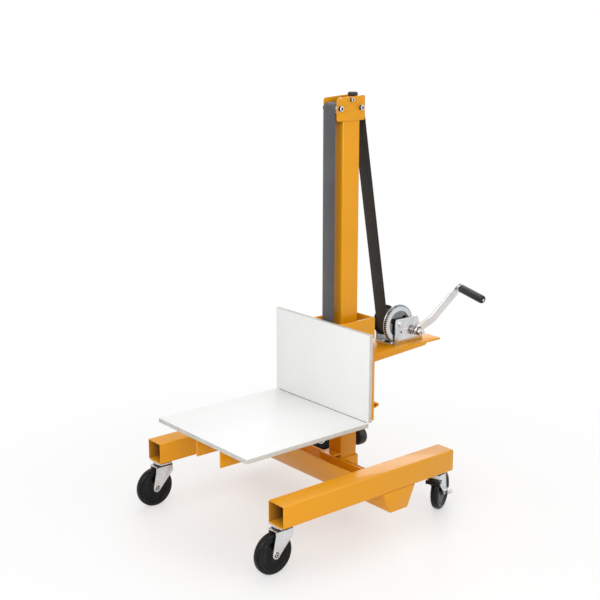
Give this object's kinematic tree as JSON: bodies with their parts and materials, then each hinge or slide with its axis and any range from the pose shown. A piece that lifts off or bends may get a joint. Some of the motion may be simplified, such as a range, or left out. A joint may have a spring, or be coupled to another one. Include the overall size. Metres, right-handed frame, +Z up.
{
  "type": "manual winch stacker",
  "caption": "Manual winch stacker: welded steel legs on swivel casters, a mast with a strap hand winch, and a lifting carriage with a flat deck and backboard.",
  "frame": {"origin": "middle of the box on the floor the casters stand on", "axes": "+Z up along the mast, -Y to the front where the deck is, +X to the side with the crank"},
  "size_m": [0.604, 0.8866, 1.1375],
  "materials": {
    "yellow_paint": "gloss orange-yellow powder coat on welded steel",
    "white_board": "white melamine-faced board with pale grey edges",
    "zinc": "bright zinc plate",
    "bronze": "friction washers, dull bronze",
    "webbing": "dark woven webbing",
    "black_rubber": "satin black rubber",
    "black_plastic": "moulded black plastic"
  },
  "bodies": {
    "base": {"leg_right": "yellow_paint", "leg_left": "yellow_paint", "base_trough": "yellow_paint", "foot_bar": "yellow_paint", "mast": "yellow_paint", "mast_socket": "yellow_paint", "carriage_stop": "yellow_paint", "head_side_right": "yellow_paint", "head_side_left": "yellow_paint", "head_bolts": "zinc", "head_bridge": "yellow_paint", "strap_front": "webbing", "strap_back": "webbing", "strap_winding": "webbing", "winch_shelf": "yellow_paint", "winch_frame": "zinc", "winch_bolts": "zinc", "drum_axle": "zinc", "pawl_mount": "zinc", "caster_plates": "zinc"},
    "clamp_knob": {"mast_clamp_knob": "black_plastic"},
    "head_knob": {"head_knob": "black_plastic"},
    "head_roller_front": {"head_roller_front": "zinc"},
    "head_roller_rear": {"head_roller_rear": "zinc"},
    "carriage": {"strap_clamp": "zinc", "carriage_side_right": "yellow_paint", "carriage_side_left": "yellow_paint", "ring_plates": "yellow_paint", "back_plate": "yellow_paint", "back_stiffeners": "yellow_paint", "cross_ties": "yellow_paint", "platform": "white_board", "backboard": "white_board", "board_screws": "zinc", "carriage_axles": "zinc"},
    "guide_roller_low": {"guide_roller_low": "black_plastic"},
    "guide_roller_high": {"guide_roller_high": "black_plastic"},
    "drum": {"drum": "zinc", "drum_gear": "zinc"},
    "crank": {"pinion_shaft": "zinc", "ratchet_wheel": "zinc", "crank_collar": "zinc", "friction_washers": "bronze", "crank_nut": "zinc", "crank_arm": "zinc", "grip_pin": "zinc"},
    "grip": {"grip": "black_rubber"},
    "pawl": {"pawl": "zinc"},
    "fork_front_left": {"caster_fork_front_left": "zinc"},
    "wheel_front_left": {"caster_wheel_front_left": "black_rubber"},
    "fork_front_right": {"caster_fork_front_right": "zinc"},
    "wheel_front_right": {"caster_wheel_front_right": "black_rubber"},
    "fork_rear_left": {"caster_fork_rear_left": "zinc"},
    "wheel_rear_left": {"caster_wheel_rear_left": "black_rubber"},
    "fork_rear_right": {"caster_fork_rear_right": "zinc"},
    "wheel_rear_right": {"caster_wheel_rear_right": "black_rubber"},
    "brake_rear_left": {"brake_bar_rear_left": "black_plastic"},
    "brake_rear_right": {"brake_bar_rear_right": "black_plastic"}
  },
  "joints": [
    {"name": "crank_turn", "type": "hinge", "parent": "base", "child": "crank", "pos_m": [0, 0.31553, 0.45101], "axis": [-1, 0, 0], "range_deg": [0, 4080]},
    {"name": "carriage_lift", "type": "slide", "parent": "base", "child": "carriage", "axis": [0, 0, 1], "range_m": [0, 0.4], "deforming": ["strap_front"]},
    {"name": "drum_turn", "type": "hinge", "parent": "base", "child": "drum", "pos_m": [0, 0.25979, 0.477], "axis": [1, 0, 0], "range_deg": [0, 682]},
    {"name": "head_roller_front_turn", "type": "hinge", "parent": "base", "child": "head_roller_front", "pos_m": [0, 0.03379, 1.097], "axis": [-1, 0, 0], "range_deg": [0, 1630]},
    {"name": "head_roller_rear_turn", "type": "hinge", "parent": "base", "child": "head_roller_rear", "pos_m": [0, 0.10729, 1.097], "axis": [-1, 0, 0], "range_deg": [0, 1630]},
    {"name": "guide_roller_low_turn", "type": "hinge", "parent": "carriage", "child": "guide_roller_low", "pos_m": [0, 0.03399, 0.24], "axis": [-1, 0, 0], "range_deg": [0, 1790]},
    {"name": "guide_roller_high_turn", "type": "hinge", "parent": "carriage", "child": "guide_roller_high", "pos_m": [0, 0.11959, 0.49], "axis": [1, 0, 0], "range_deg": [0, 1790]},
    {"name": "grip_spin", "type": "hinge", "parent": "crank", "child": "grip", "pos_m": [0.105, 0.43021, 0.57102], "axis": [0.9803, -0.1366, -0.1429], "continuous": true},
    {"name": "pawl_swing", "type": "hinge", "parent": "base", "child": "pawl", "pos_m": [-0.035, 0.30753, 0.47901], "axis": [1, 0, 0], "range_deg": [-28, 0]},
    {"name": "clamp_knob_turn", "type": "hinge", "parent": "base", "child": "clamp_knob", "pos_m": [0, 0.12679, 0.158], "axis": [0, 1, 0], "continuous": true},
    {"name": "head_knob_turn", "type": "hinge", "parent": "base", "child": "head_knob", "pos_m": [0, 0.10229, 1.13], "axis": [0, 0, 1], "continuous": true},
    {"name": "swivel_front_left", "type": "hinge", "parent": "base", "child": "fork_front_left", "pos_m": [-0.267, -0.36221, 0.114], "axis": [0, 0, 1], "continuous": true},
    {"name": "roll_front_left", "type": "hinge", "parent": "fork_front_left", "child": "wheel_front_left", "pos_m": [-0.267, -0.38821, 0.055], "axis": [-1, 0, 0], "continuous": true},
    {"name": "swivel_front_right", "type": "hinge", "parent": "base", "child": "fork_front_right", "pos_m": [0.267, -0.36221, 0.114], "axis": [0, 0, 1], "continuous": true},
    {"name": "roll_front_right", "type": "hinge", "parent": "fork_front_right", "child": "wheel_front_right", "pos_m": [0.267, -0.38821, 0.055], "axis": [-1, 0, 0], "continuous": true},
    {"name": "swivel_rear_left", "type": "hinge", "parent": "base", "child": "fork_rear_left", "pos_m": [-0.267, 0.18879, 0.114], "axis": [0, 0, 1], "continuous": true},
    {"name": "roll_rear_left", "type": "hinge", "parent": "fork_rear_left", "child": "wheel_rear_left", "pos_m": [-0.25601, 0.21235, 0.055], "axis": [0.9063, -0.4226, 0], "continuous": true},
    {"name": "swivel_rear_right", "type": "hinge", "parent": "base", "child": "fork_rear_right", "pos_m": [0.267, 0.18879, 0.114], "axis": [0, 0, 1], "continuous": true},
    {"name": "roll_rear_right", "type": "hinge", "parent": "fork_rear_right", "child": "wheel_rear_right", "pos_m": [0.25601, 0.21235, 0.055], "axis": [0.9063, 0.4226, 0], "continuous": true},
    {"name": "brake_press_rear_left", "type": "hinge", "parent": "fork_rear_left", "child": "brake_rear_left", "pos_m": [-0.27503, 0.17157, 0.097], "axis": [0.9063, -0.4226, 0], "range_deg": [0, 8], "stiffness_Nm_per_rad": 0.5},
    {"name": "brake_press_rear_right", "type": "hinge", "parent": "fork_rear_right", "child": "brake_rear_right", "pos_m": [0.27503, 0.17157, 0.097], "axis": [0.9063, 0.4226, 0], "range_deg": [0, 8], "stiffness_Nm_per_rad": 0.5}
  ],
  "couplings": [
    {"joint": "carriage_lift", "follows": "crank_turn", "m_per_rad": 0.0055833},
    {"joint": "drum_turn", "follows": "crank_turn", "ratio": 0.16667},
    {"joint": "head_roller_front_turn", "follows": "crank_turn", "ratio": 0.39739},
    {"joint": "head_roller_rear_turn", "follows": "crank_turn", "ratio": 0.39739},
    {"joint": "guide_roller_low_turn", "follows": "crank_turn", "ratio": 0.4362},
    {"joint": "guide_roller_high_turn", "follows": "crank_turn", "ratio": 0.4362}
  ]
}
